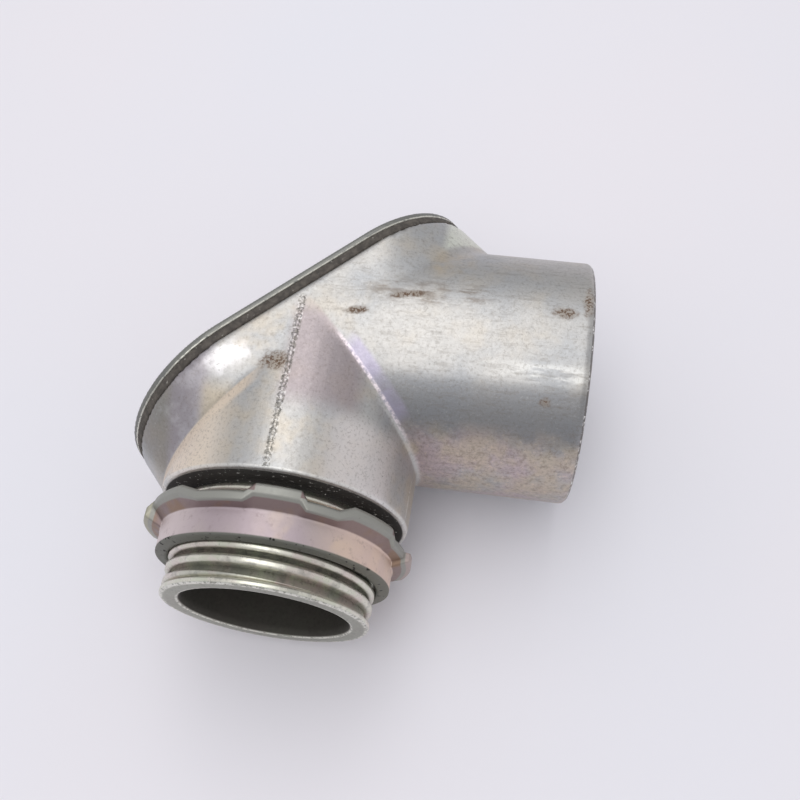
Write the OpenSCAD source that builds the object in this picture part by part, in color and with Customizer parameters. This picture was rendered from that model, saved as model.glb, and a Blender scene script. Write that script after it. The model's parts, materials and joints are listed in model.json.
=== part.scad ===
// Conduit pull elbow, 1 inch trade size, with a gasketed access cover and a locknut.
// A female threaded hub runs along +X and a male threaded nipple along -Y, and their
// axes cross at 90 degrees. The outer corner is cut at 45 degrees by an oblong
// opening, which a gasket and a crowned cover close. +Z is square to the plane of
// the bend. The origin is on the hub's axis, at the outer end of its threaded wall.

/* [Barrels] */
// Outer radius of both barrels where they meet
barrel_r = 21.2; // [20.4:0.1:23]
// How much smaller the nipple's barrel is at its shoulder
barrel_taper = 0.7; // [0:0.1:1.2]
// Distance from the nipple's axis to the mouth of the hub
hub_reach = 46.5; // [46:0.5:60]
// Distance from the hub's axis to the shoulder face
shoulder_reach = 31.2; // [30.5:0.1:34]
// Wall between the chamber and the outside of the barrels
barrel_wall = 3.2; // [2.8:0.1:3.6]
// Thickness of the floor behind the shoulder face
floor_t = 3.6; // [2.5:0.1:4.2]
// Rounding of the shoulder's edge
shoulder_round = 0.6; // [0.2:0.1:0.9]

/* [Hub] */
// Radius of the hub's threaded wall, at the roots of the thread
hub_bore_r = 16.8; // [16.2:0.05:17.4]
// Depth of the threaded wall below the mouth
hub_thread_depth = 17.6; // [14:0.1:18]
// Length of the stop ring that the conduit's end meets
hub_stop_len = 3; // [2:0.5:4]
// Inside radius of the stop ring
hub_stop_r = 13.8; // [12:0.1:14.5]
// Bevel at the inside edge of the hub's mouth
hub_mouth_bevel = 0.6; // [0.3:0.1:1.2]
// Bevel at the outside edge of the hub's mouth
hub_rim_bevel = 0.7; // [0.3:0.1:1]

/* [Nipple] */
// Length of the nipple from the shoulder face to its end
nipple_len = 16.4; // [15.5:0.1:22]
// Radius of the nipple's thread over its crests
thread_r = 16.7; // [16.4:0.05:17]
// Distance from one turn of the thread to the next
thread_pitch = 2.209; // [1.8:0.001:2.6]
// Depth of the thread from crest to root
thread_depth = 1.15; // [0.8:0.05:1.4]
// Width of the flat on each crest, and of the flat at each root
thread_flat = 0.4; // [0.2:0.05:0.5]
// Inside radius of the nipple
nipple_bore_r = 13.5; // [12:0.1:13.8]
// Rounding of the nipple's end
nipple_round = 1.3; // [0.8:0.1:1.6]

/* [Cover opening] */
// Distance of the cover seat beyond the crossing of the axes
seat_offset = 0.6; // [0.2:0.1:2]
// How far the seat's straight sides stand out past the barrels
seat_lip = 0.1; // [0:0.1:1.5]
// Half the distance between the centres of the seat's round ends
seat_half = 14.3; // [13:0.1:17]
// Depth of the straight wall around the seat
seat_land = 0.8; // [0.4:0.1:1.5]
// Depth below the crossing at which the flared ends meet the barrels
flare_depth = 7; // [5.5:0.1:7.4]

/* [Gasket] */
// Thickness of the gasket
gasket_t = 1.5; // [0.8:0.1:3]
// Width of the gasket along its straight sides
gasket_w = 3.4; // [2.5:0.1:4]

/* [Cover] */
// Thickness of the cover plate
cover_t = 1.35; // [1:0.05:2.5]
// Height of the cover's crown above its rim
crown_h = 1.6; // [0.8:0.1:3]
// Distance of the crown's foot from the chamber's wall
crown_inset = 2.5; // [2:0.1:5]
// Rounding of the cover's outer edge
cover_round = 0.5; // [0.2:0.1:0.8]

/* [Screws] */
// Distance of each screw from the end of the cover
screw_inset = 4.5; // [4.2:0.1:5]
// Radius of the screw's shank
screw_r = 2; // [1.6:0.05:2.2]
// Length of the shank under the head
screw_len = 9.5; // [8:0.5:10.5]
// Radius of the screw's head
head_r = 3.6; // [3.2:0.1:3.9]
// Height of the screw's head
head_h = 2.3; // [1.8:0.1:3]
// Width of the driver slot
slot_w = 1.1; // [0.8:0.1:1.4]
// Depth of the driver slot
slot_depth = 1.1; // [0.7:0.1:1.3]
// Wall of the pillar in the body around each screw
pillar_wall = 1.65; // [1.3:0.05:2]
// Depth of the hole below the tip of each screw
hole_spare = 0.8; // [0.3:0.1:1.2]

/* [Locknut] */
// Gap between the shoulder face and the tips of the locknut's teeth
nut_gap = 1.6; // [0.3:0.1:4]
// Wall of the locknut's collar
nut_wall = 1.6; // [1.3:0.05:2.2]
// How far the flange stands out past the collar
nut_flange_w = 1.65; // [1.2:0.05:2]
// How far the wrench lugs stand out past the flange
nut_lug_w = 1.9; // [1:0.1:2.4]
// Height of the flange, from the tips of its teeth to its lower edge
nut_flange_h = 4.6; // [3.8:0.1:6]
// Height of the collar below the flange
nut_collar_h = 5; // [3.5:0.1:6]
// Radius of the hollow between the flange and the collar
nut_cove = 0.9; // [0.5:0.1:1.1]
// Bevel at the end of the collar
nut_bevel = 1.4; // [0.8:0.1:1.6]
// Number of teeth around the locknut
tooth_count = 7; // [6:1:10]
// Depth of the notches between the teeth
tooth_depth = 2.3; // [1:0.1:2.8]
// Fall of each tooth's crest from its tip to its heel
tooth_fall = 0.8; // [0.2:0.1:0.9]
// Width of each wrench lug, in degrees
lug_angle = 34; // [20:1:40]
// Turn of the locknut on the nipple, in degrees
nut_turn = 0; // [0:1:360]

/* [Clearances] */
// Radial clearance between the locknut and the nipple's crests
nut_clear = 0.06; // [0.02:0.01:0.3]
// Radial clearance between each screw and its hole in the body
screw_clear = 0.06; // [0.02:0.01:0.2]
// Radial clearance between each screw and its holes in the cover and the gasket
pass_clear = 0.25; // [0.1:0.05:0.4]
// How far the gasket and the cover stay inside the seat's outline
outline_inset = 0.1; // [0:0.05:0.3]
// Gap under each screw head
head_gap = 0.02; // [0.01:0.01:0.1]

/* [Hidden] */
$fn = 96;
// Sides of the curved sections that each flared end is drawn out from
loft_fn = 96;
// Length by which a cutting shape runs past the face that it cuts
over = 1;
// Half the size of a block that is larger than the whole elbow
beyond = 80;
// The skin left between a flare's foot and the barrel that it grows from
flare_sink = 0.12;
flare_foot_t = 0.05;
chamber_r = barrel_r - barrel_wall;
nipple_end = shoulder_reach + nipple_len;
seat_r = barrel_r + seat_lip;
plate_r = seat_r - outline_inset;
cover_under = seat_offset + gasket_t;
cover_top = cover_under + cover_t;
gasket_in_r = seat_r - gasket_w;
// Half length of the straight part of the opening that the chamber makes in the seat
opening_half = chamber_r * (sqrt(2) - 1);
crown_r = chamber_r - crown_inset;
crown_half = opening_half + over;
screw_out = seat_half + seat_r - screw_inset;
screw_hole_r = screw_r + screw_clear;
screw_hole_end = cover_top - screw_len - hole_spare;
pillar_r = screw_hole_r + pillar_wall;
pillar_end = screw_hole_end - over;
nut_tip = shoulder_reach + nut_gap;
nut_notch = nut_tip + tooth_depth;
nut_flange_end = nut_tip + nut_flange_h;
nut_end = nut_flange_end + nut_collar_h;
nut_bore_r = thread_r + nut_clear;
nut_collar_r = nut_bore_r + nut_wall;
nut_flange_r = nut_collar_r + nut_flange_w;
nut_lug_r = nut_flange_r + nut_lug_w;
// Directions around the nut of its first tooth's tip and of its first lug
tooth_start = 94;
lug_place = 171.5;
tooth_pitch = 360 / tooth_count;
// Where a tooth's rise starts, its tip starts and ends, its heel and its foot come,
// in shares of the pitch counted from the start of the tip
tooth_steps = [-0.09, 0, 0.06, 0.42, 0.49];
tooth_middle = (tooth_steps[0] + tooth_steps[4]) / 2;

// Moves from the crossing of the two axes to the part's own origin.
module in_frame() {
  translate([hub_mouth_bevel - hub_reach, 0, 0]) children();
}

// Local Z becomes the cover's outward normal, and local X runs along the oblong seat.
module on_seat(height) {
  rotate([-90, 0, 45]) translate([0, 0, height]) children();
}

// Local Z becomes the nipple's axis, pointing out of its end.
module on_nipple(place = 0) {
  rotate([90, 0, 0]) translate([0, 0, place]) children();
}

// Local Z becomes the hub's axis, pointing out of its mouth.
module on_hub(place = 0) {
  rotate([0, 90, 0]) translate([0, 0, place]) children();
}

// Puts its children at both screws' places on the seat.
module at_screws(height) {
  on_seat(height) for (side = [-1, 1]) translate([side * screw_out, 0, 0]) children();
}

// Oblong block: two round ends joined by straight sides.
module oblong(r, half, h) {
  for (side = [-1, 1]) translate([side * half, 0, 0]) cylinder(r = r, h = h);
  translate([-half, -r, 0]) cube([2 * half, 2 * r, h]);
}

// Oblong solid with the same section all round. The section starts on the middle
// line at the bottom and ends on it at the top.
module oblong_turned(half, section) {
  for (side = [-1, 1]) translate([side * half, 0, 0]) rotate_extrude() polygon(section);
  rotate([90, 0, 90]) translate([0, 0, -half]) linear_extrude(2 * half)
    polygon(concat(section, [for (i = [len(section) - 2:-1:1]) [-section[i][0], section[i][1]]]));
}

// Points of an arc about a centre, from angle a1 to angle a2.
function arc(cx, cy, r, a1, a2, steps = 5) =
  [for (i = [0:steps]) let (a = a1 + (a2 - a1) * i / steps) [cx + r * cos(a), cy + r * sin(a)]];

// ---- Elbow body ----

// Both barrels run back past the crossing; the cover's seat cuts them off.
module nipple_barrel(inset = 0) {
  foot_r = barrel_r - barrel_taper - inset;
  rotate_extrude() polygon(concat(
    [[0, -beyond / 2], [barrel_r - inset, -beyond / 2], [barrel_r - inset, 0]],
    arc(foot_r - shoulder_round, shoulder_reach - shoulder_round, shoulder_round, 0, 90),
    [[0, shoulder_reach]]));
}

module hub_barrel() {
  rotate_extrude() polygon([[0, -beyond / 2], [barrel_r, -beyond / 2],
    [barrel_r, hub_reach - hub_rim_bevel], [barrel_r - hub_rim_bevel, hub_reach], [0, hub_reach]]);
}

// One flared end, on the nipple's side: the slanted section of the barrel, which is
// the child, is drawn out to half of the oblong seat.
module flare() {
  hull() {
    on_seat(seat_offset - seat_land) {
      translate([-seat_half, 0, 0]) cylinder(r = seat_r, h = seat_land + over, $fn = loft_fn);
      translate([-seat_half, -seat_r, 0]) cube([seat_half, 2 * seat_r, seat_land + over]);
    }
    intersection() {
      children();
      on_seat(-flare_depth) translate([-beyond - flare_depth, -beyond / 2, -flare_foot_t])
        cube([beyond, beyond, flare_foot_t]);
    }
  }
}

// Rings of thread, each from root to root, counted back from where the last ends.
function thread_rings(last) =
  let (flank = (thread_pitch - 2 * thread_flat) / 2, turns = floor((last - shoulder_reach) / thread_pitch))
  [for (i = [turns:-1:1]) let (z = last - i * thread_pitch, root_r = thread_r - thread_depth) each [
    [root_r, z + thread_flat / 2],
    [thread_r, z + thread_flat / 2 + flank],
    [thread_r, z + thread_flat * 1.5 + flank],
    [root_r, z + thread_pitch - thread_flat / 2]]];

module nipple() {
  last_ring = nipple_end - nipple_round - thread_flat;
  rotate_extrude() polygon(concat(
    [[0, shoulder_reach - over], [thread_r - thread_depth, shoulder_reach - over]],
    thread_rings(last_ring),
    [[thread_r, nipple_end - nipple_round]],
    arc(thread_r - nipple_round, nipple_end - nipple_round, nipple_round, 0, 78),
    [[0, nipple_end]]));
}

module chamber() {
  difference() {
    union() {
      on_nipple(-beyond / 2) cylinder(r = chamber_r, h = beyond / 2 + shoulder_reach - floor_t);
      on_hub(-beyond / 2)
        cylinder(r = chamber_r, h = beyond / 2 + hub_reach - hub_thread_depth - hub_stop_len);
    }
    at_screws(pillar_end) cylinder(r = pillar_r, h = seat_offset + over - pillar_end);
  }
}

module hub_bore() {
  on_hub(hub_reach - hub_thread_depth) cylinder(r = hub_bore_r, h = hub_thread_depth + over);
  on_hub(hub_reach - hub_thread_depth - hub_stop_len - over)
    cylinder(r = hub_stop_r, h = hub_stop_len + 2 * over);
  on_hub(hub_reach - hub_mouth_bevel)
    cylinder(r1 = hub_bore_r, r2 = hub_bore_r + hub_mouth_bevel, h = hub_mouth_bevel);
}

module elbow_body() color([0.70, 0.69, 0.68]) in_frame() difference() {
  union() {
    on_nipple() nipple_barrel();
    on_hub() hub_barrel();
    flare() on_nipple() nipple_barrel(flare_sink, $fn = loft_fn);
    mirror([1, 1, 0]) flare() on_nipple() cylinder(r = barrel_r - flare_sink, h = hub_reach, $fn = loft_fn);
    on_nipple() nipple();
  }
  on_seat(seat_offset) translate([-beyond, -beyond, 0]) cube(2 * beyond);
  chamber();
  hub_bore();
  on_nipple(shoulder_reach - floor_t - over)
    cylinder(r = nipple_bore_r, h = nipple_len + floor_t + 2 * over);
  at_screws(screw_hole_end) cylinder(r = screw_hole_r, h = seat_offset + over - screw_hole_end);
}

// ---- Gasket, cover and screws ----

module cover_gasket() color([0.20, 0.17, 0.15]) in_frame() difference() {
  on_seat(seat_offset) oblong(plate_r, seat_half, gasket_t);
  on_seat(seat_offset - over) oblong(gasket_in_r, opening_half, gasket_t + 2 * over);
  at_screws(seat_offset - over) cylinder(r = screw_r + pass_clear, h = gasket_t + 2 * over);
}

// Section of the crown: flat foot, a swept shoulder, then a nearly flat top.
function crown_section(foot, top) = [[0, -over], [foot, -over], [foot, top],
  [foot * 0.86, top + crown_h * 0.34], [foot * 0.66, top + crown_h * 0.7],
  [foot * 0.4, top + crown_h * 0.93], [0, top + crown_h]];

module cover() color([0.72, 0.72, 0.70]) in_frame() difference() {
  on_seat(cover_under) {
    oblong_turned(seat_half, concat([[0, 0], [plate_r, 0]],
      arc(plate_r - cover_round, cover_t - cover_round, cover_round, 0, 90), [[0, cover_t]]));
    intersection() {
      oblong_turned(crown_half, crown_section(crown_r + cover_t, cover_t));
      translate([-beyond, -beyond, 0]) cube(2 * beyond);
    }
  }
  on_seat(cover_under) oblong_turned(crown_half, crown_section(crown_r, 0));
  at_screws(cover_under - over) cylinder(r = screw_r + pass_clear, h = cover_t + 2 * over);
}

module cover_screw(side) color([0.62, 0.61, 0.57]) in_frame()
  on_seat(cover_top + head_gap) translate([side * screw_out, 0, 0]) difference() {
    union() {
      translate([0, 0, -screw_len]) cylinder(r = screw_r, h = screw_len + head_h / 2);
      rotate_extrude() polygon(concat([[0, 0], [head_r, 0]],
        [for (a = [0:15:75]) [head_r * cos(a), head_h * (0.35 + 0.65 * sin(a))]], [[0, head_h]]));
    }
    translate([-head_r - over, -slot_w / 2, head_h - slot_depth])
      cube([2 * (head_r + over), slot_w, slot_depth + over]);
  }

module cover_screw_1() cover_screw(-1);
module cover_screw_2() cover_screw(1);

// ---- Locknut ----

// Side view of one tooth from outside the rim: the rise, the tip, the falling crest
// and the heel. It runs on below the notches.
function tooth_outline() =
  let (p = [for (f = tooth_steps) nut_flange_r * tan((f - tooth_middle) * tooth_pitch)])
  [[p[0], tooth_depth], [p[1], 0], [p[2], 0], [p[3], tooth_fall], [p[4], tooth_depth],
   [p[4], tooth_depth + over], [p[0], tooth_depth + over]];

module notches() {
  translate([0, 0, nut_tip]) difference() {
    translate([0, 0, -over]) cylinder(r = nut_lug_r + over, h = tooth_depth + over);
    for (i = [0:tooth_count - 1]) rotate(tooth_start - (i + tooth_middle) * tooth_pitch)
      mirror([0, 1, 0]) rotate([90, 0, 90]) linear_extrude(nut_lug_r + 2 * over) polygon(tooth_outline());
  }
}

module nut_ring() {
  rotate_extrude() polygon(concat(
    [[nut_bore_r, nut_tip], [nut_flange_r - 0.5, nut_tip], [nut_flange_r, nut_tip + 1],
     [nut_flange_r, nut_flange_end]],
    arc(nut_collar_r + nut_cove, nut_flange_end + nut_cove, nut_cove, 270, 180),
    [[nut_collar_r, nut_end - nut_bevel], [nut_collar_r - nut_bevel / 4, nut_end - nut_bevel / 2],
     [nut_bore_r + nut_wall / 4, nut_end], [nut_bore_r, nut_end]]));
}

module nut_lug(place) {
  half_w = nut_lug_r * sin(lug_angle / 2);
  inner_r = nut_collar_r - nut_wall / 2;
  top = nut_notch - nut_lug_w / 4;
  intersection() {
    rotate_extrude() polygon([[inner_r, nut_notch + nut_lug_w / 4], [nut_flange_r - nut_lug_w / 4, top],
      [nut_lug_r, top], [nut_lug_r, nut_flange_end],
      [nut_flange_r + nut_lug_w * 0.3, nut_flange_end + nut_lug_w * 0.3],
      [nut_collar_r, nut_flange_end + nut_lug_w * 0.9], [inner_r, nut_flange_end + nut_lug_w * 0.9]]);
    rotate(place) translate([0, -half_w, 0]) cube([2 * nut_lug_r, 2 * half_w, nut_end]);
  }
}

module locknut() color([0.66, 0.56, 0.55]) in_frame() on_nipple() rotate(nut_turn) {
  difference() {
    nut_ring();
    notches();
  }
  nut_lug(lug_place);
  nut_lug(lug_place + 180);
}

elbow_body();
cover_gasket();
cover();
cover_screw_1();
cover_screw_2();
locknut();
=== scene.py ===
"""Dresses the 1 inch conduit pull elbow: casting, threads, gasket, cover, screws and locknut."""

from __future__ import annotations

import json
import logging
import math
from dataclasses import dataclass, field
from enum import Enum
from functools import reduce
from typing import Optional, Sequence, Union

import bmesh
import bpy
import numpy as np
from mathutils import Matrix, Vector
from mathutils.bvhtree import BVHTree

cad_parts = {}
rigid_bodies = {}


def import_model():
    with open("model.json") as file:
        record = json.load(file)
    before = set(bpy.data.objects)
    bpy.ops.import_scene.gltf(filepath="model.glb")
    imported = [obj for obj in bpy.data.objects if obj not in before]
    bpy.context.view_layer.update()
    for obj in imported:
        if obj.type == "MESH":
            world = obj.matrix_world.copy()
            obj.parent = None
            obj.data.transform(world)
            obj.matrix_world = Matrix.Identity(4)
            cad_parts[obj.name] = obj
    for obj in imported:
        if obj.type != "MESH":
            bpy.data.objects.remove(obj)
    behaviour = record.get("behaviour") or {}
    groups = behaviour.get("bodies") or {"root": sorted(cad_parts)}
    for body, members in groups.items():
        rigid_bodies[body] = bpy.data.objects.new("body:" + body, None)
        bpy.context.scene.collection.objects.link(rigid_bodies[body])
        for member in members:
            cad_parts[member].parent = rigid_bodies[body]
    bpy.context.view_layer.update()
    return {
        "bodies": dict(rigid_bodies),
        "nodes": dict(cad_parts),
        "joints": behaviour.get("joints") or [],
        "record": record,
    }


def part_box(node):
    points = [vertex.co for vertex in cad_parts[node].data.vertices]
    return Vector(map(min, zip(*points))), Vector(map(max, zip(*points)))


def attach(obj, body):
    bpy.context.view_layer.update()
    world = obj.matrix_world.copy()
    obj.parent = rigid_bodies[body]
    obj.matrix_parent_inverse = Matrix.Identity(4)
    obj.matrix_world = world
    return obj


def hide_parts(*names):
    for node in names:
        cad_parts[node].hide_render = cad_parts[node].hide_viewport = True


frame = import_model()

MM = 0.001
INCH = 0.0254
LOG = logging.getLogger("pull_elbow")
DIAGONAL = math.sqrt(0.5)
WELD = 1e-7

Number = Union[int, float]
Link = Union["Signal", bpy.types.NodeSocket, bpy.types.Node, Number, bool, Sequence[float]]
Colour = tuple[float, float, float]
Tooth = tuple[float, float, float, float]


# ---------------------------------------------------------------- node trees


class Signal:
    """A number that flows through a node tree; Python operators on it add Math nodes."""

    def __init__(self, graph: Graph, socket: bpy.types.NodeSocket) -> None:
        """Wraps one output socket.

        Args:
            graph: the tree that the socket belongs to.
            socket: the output socket that gives the number.
        """
        self.graph = graph
        self.socket = socket

    def _math(self, operation: str, *values: Link, clamp: bool = False) -> Signal:
        """Adds one Math node.

        Args:
            operation: the Math node's operation.
            values: its inputs in order.
            clamp: whether the result is held between 0 and 1.

        Returns:
            The node's result.
        """
        inputs = dict(enumerate(values))
        node = self.graph.node("ShaderNodeMath", inputs, operation=operation, use_clamp=clamp)
        return Signal(self.graph, node.outputs[0])

    def __add__(self, other: Link) -> Signal:
        """The sum of this and another number."""
        return self._math("ADD", self, other)

    def __radd__(self, other: Link) -> Signal:
        """The sum of another number and this."""
        return self._math("ADD", other, self)

    def __sub__(self, other: Link) -> Signal:
        """This less another number."""
        return self._math("SUBTRACT", self, other)

    def __rsub__(self, other: Link) -> Signal:
        """Another number less this."""
        return self._math("SUBTRACT", other, self)

    def __mul__(self, other: Link) -> Signal:
        """This times another number."""
        return self._math("MULTIPLY", self, other)

    def __rmul__(self, other: Link) -> Signal:
        """Another number times this."""
        return self._math("MULTIPLY", other, self)

    def __truediv__(self, other: Link) -> Signal:
        """This divided by another number."""
        return self._math("DIVIDE", self, other)

    def __abs__(self) -> Signal:
        """The size of this without its sign."""
        return self._math("ABSOLUTE", self)

    def most(self, other: Link) -> Signal:
        """The larger of this and another number."""
        return self._math("MAXIMUM", self, other)

    def held(self) -> Signal:
        """This held between 0 and 1."""
        return self._math("ADD", self, 0.0, clamp=True)

    def root(self) -> Signal:
        """The square root of this."""
        return self._math("SQRT", self)

    def hypotenuse(self, other: Signal) -> Signal:
        """The distance that this makes with another number at right angles to it."""
        return (self * self + other * other).root()

    def angle_over(self, other: Link) -> Signal:
        """The angle of the direction whose rise this is and whose run is another number."""
        return self._math("ARCTAN2", self, other)

    def wrapped(self, length: Number) -> Signal:
        """This with whole lengths taken away, so that it lies between 0 and the length."""
        return self._math("FLOORED_MODULO", self, length)

    def rise(self, start: Link, end: Link) -> Signal:
        """A smooth step from 0 to 1.

        Args:
            start: the value at which the step leaves 0.
            end: the value at which it reaches 1. It may be below start.

        Returns:
            0 before start, 1 past end, and an S-shaped rise between.
        """
        inputs = {"Value": self, "From Min": start, "From Max": end}
        node = self.graph.node("ShaderNodeMapRange", inputs, interpolation_type="SMOOTHSTEP")
        return Signal(self.graph, node.outputs[0])

    def band(self, low: Number, high: Number, soft: Number) -> Signal:
        """1 between two values and 0 outside them, with soft edges.

        Args:
            low: the band's lower edge.
            high: the band's upper edge.
            soft: the width of each edge.

        Returns:
            The mask of the band.
        """
        return self.rise(low - soft, low) * self.rise(high + soft, high)


class Graph:
    """One node tree and the few calls that every tree here is built with."""

    def __init__(self, tree: bpy.types.NodeTree) -> None:
        """Wraps a tree.

        Args:
            tree: a shader or Geometry Nodes tree.
        """
        self.tree = tree
        self.place: Optional[Link] = None

    def node(
        self, kind: str, inputs: Optional[dict[Union[str, int], Link]] = None, **settings: object
    ) -> bpy.types.Node:
        """Adds one node.

        Args:
            kind: the node's type name.
            inputs: values or links by socket name or number.
            settings: its properties, which are set first.

        Returns:
            The new node.
        """
        made = self.tree.nodes.new(kind)
        for name, value in settings.items():
            setattr(made, name, value)
        for key, value in (inputs or {}).items():
            self._feed(made.inputs[key], value)
        return made

    def _feed(self, socket: bpy.types.NodeSocket, value: Link) -> None:
        """Links or sets one input socket.

        Args:
            socket: the input socket.
            value: a signal, a socket or a node, whose first output is linked, or a
                plain value to set.
        """
        if isinstance(value, Signal):
            self.tree.links.new(value.socket, socket)
        elif isinstance(value, bpy.types.Node):
            self.tree.links.new(value.outputs[0], socket)
        elif isinstance(value, bpy.types.NodeSocket):
            self.tree.links.new(value, socket)
        elif socket.type == "RGBA" and len(value) == 3:
            socket.default_value = (*value, 1.0)
        else:
            socket.default_value = value

    def noise(
        self, scale: float, detail: float, rough: float, seed: Link, place: Optional[Link] = None
    ) -> Signal:
        """Adds a noise texture.

        Args:
            scale: features per metre.
            detail: how many finer layers are added.
            rough: how strong each finer layer is.
            seed: shifts the pattern, so that two noises differ.
            place: the position that it reads, or None for the tree's own.

        Returns:
            The noise, about 0 to 1.
        """
        where = self.place if place is None else place
        inputs = {"Vector": where, "W": seed, "Scale": scale, "Detail": detail, "Roughness": rough}
        return Signal(self, self.node("ShaderNodeTexNoise", inputs, noise_dimensions="4D").outputs[0])


class Surface(Graph):
    """A material's shader tree, with the calls that finishes share."""

    def __init__(self, name: str) -> None:
        """Starts a material with an empty tree.

        Args:
            name: the material's name.
        """
        self.material = bpy.data.materials.new(name)
        self.material.use_nodes = True
        super().__init__(self.material.node_tree)
        self.tree.nodes.clear()
        self.place = self.node("ShaderNodeTexCoord").outputs["Object"]
        split = self.node("ShaderNodeSeparateXYZ", {0: self.place})
        self.x, self.y, self.z = (Signal(self, split.outputs[i]) for i in range(3))
        self.colour: Link = (1.0, 1.0, 1.0)

    def stretched(self, scale: Sequence[float], turn: Sequence[float] = (0, 0, 0)) -> bpy.types.Node:
        """The object's own position, scaled and turned.

        Args:
            scale: the factor along each axis.
            turn: the turn about each axis, in radians.

        Returns:
            The node that maps the position.
        """
        return self.node("ShaderNodeMapping", {"Vector": self.place, "Rotation": turn, "Scale": scale})

    def blend(self, share: Link, first: Link, second: Link) -> bpy.types.NodeSocket:
        """Mixes two colours.

        Args:
            share: how much of the second colour shows, 0 to 1.
            first: the colour at 0.
            second: the colour at 1.

        Returns:
            The mixed colour.
        """
        inputs = {0: share, 6: first, 7: second}
        return self.node("ShaderNodeMix", inputs, data_type="RGBA").outputs[2]

    def paint(self, share: Link, tint: Link) -> None:
        """Lays a tint over the colour so far; the share says how much of it shows."""
        self.colour = self.blend(share, self.colour, tint)

    def finish(
        self, roughness: Link, metallic: Link, relief: Optional[Signal] = None, depth: float = 0.0
    ) -> bpy.types.Material:
        """Ends the tree in a Principled shader that shows the colour so far.

        Args:
            roughness: the roughness.
            metallic: the metallic share.
            relief: the height that the Bump node reads, or None for a plain surface.
            depth: the bump's distance, in metres.

        Returns:
            The finished material.
        """
        inputs: dict[Union[str, int], Link] = {
            "Base Color": self.colour, "Roughness": roughness, "Metallic": metallic
        }
        if relief is not None:
            bump = {"Height": relief, "Distance": depth, "Strength": 1.0}
            inputs["Normal"] = self.node("ShaderNodeBump", bump)
        shader = self.node("ShaderNodeBsdfPrincipled", inputs)
        self.node("ShaderNodeOutputMaterial", {"Surface": shader})
        return self.material


# ---------------------------------------------------------------- layout


@dataclass(frozen=True)
class Layout:
    """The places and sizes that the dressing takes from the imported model, in metres."""

    nipple_x: float
    hub_mouth_x: float
    shoulder_y: float
    nipple_end_y: float
    barrel_r: float
    shoulder_r: float
    thread_r: float
    nipple_bore_r: float
    hub_bore_r: float
    hub_thread_len: float
    floor_z: float
    pitch: float = INCH / 11.5

    @classmethod
    def from_frame(cls, packed: dict) -> Layout:
        """Reads the layout from the record's mounts and the nodes' boxes.


        Returns:
            The layout.
        """
        mounts = {m["name"]: m for m in packed["record"]["mounts"]}
        low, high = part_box("elbow_body")
        raceway = mounts["raceway"]
        hub = mounts["hub_thread"]
        return cls(
            nipple_x=raceway["pos_m"][0],
            hub_mouth_x=high.x,
            shoulder_y=mounts["box_face"]["pos_m"][1],
            nipple_end_y=low.y,
            barrel_r=high.z - 0.1 * MM,
            shoulder_r=20.5 * MM,
            thread_r=mounts["nipple_thread"]["dims"]["r_mm"] * MM,
            nipple_bore_r=raceway["dims"]["r_mm"] * MM,
            hub_bore_r=hub["dims"]["r_mm"] * MM,
            hub_thread_len=hub["dims"]["length_mm"] * MM,
            floor_z=low.z,
        )

    def on_nipple(self, level: float) -> Matrix:
        """The frame on the nipple's axis at a level of Y, whose local Z runs out along it."""
        place = Matrix.Rotation(math.radians(90), 4, "X")
        place.translation = Vector((self.nipple_x, level, 0))
        return place


# ---------------------------------------------------------------- mesh helpers


def object_from(name: str, mesh: bpy.types.Mesh) -> bpy.types.Object:
    """Links a mesh into the scene as an object at the origin.

    Args:
        name: the object's name.
        mesh: its mesh.

    Returns:
        The new object.
    """
    made = bpy.data.objects.new(name, mesh)
    bpy.context.scene.collection.objects.link(made)
    return made


def plain_mesh(name: str, holder: bpy.types.Object) -> bpy.types.Object:
    """Turns an object with live modifiers into a plain mesh object and removes the first.

    Args:
        name: the new object's name.
        holder: the object whose modifiers make the shape.

    Returns:
        The plain object.
    """
    bpy.context.view_layer.update()
    evaluated = holder.evaluated_get(bpy.context.evaluated_depsgraph_get())
    mesh = bpy.data.meshes.new_from_object(evaluated)
    mesh.name = name
    bpy.data.objects.remove(holder)
    return object_from(name, mesh)


def joined(name: str, parts: Sequence[bpy.types.Object]) -> bpy.types.Object:
    """Joins several plain mesh objects into one, keeping their materials.

    Args:
        name: the joined object's name.
        parts: the objects, which are used up.

    Returns:
        The joined object.
    """
    with bpy.context.temp_override(active_object=parts[0], selected_editable_objects=list(parts)):
        bpy.ops.object.join()
    parts[0].name = name
    parts[0].data.name = name
    return parts[0]


def smooth_shaded(piece: bpy.types.Object) -> bpy.types.Object:
    """Shades every face of a piece smooth."""
    piece.data.shade_smooth()
    return piece


def clad(piece: bpy.types.Object, finish: bpy.types.Material) -> bpy.types.Object:
    """Gives a piece one material in place of those it has."""
    piece.data.materials.clear()
    piece.data.materials.append(finish)
    return piece


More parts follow.
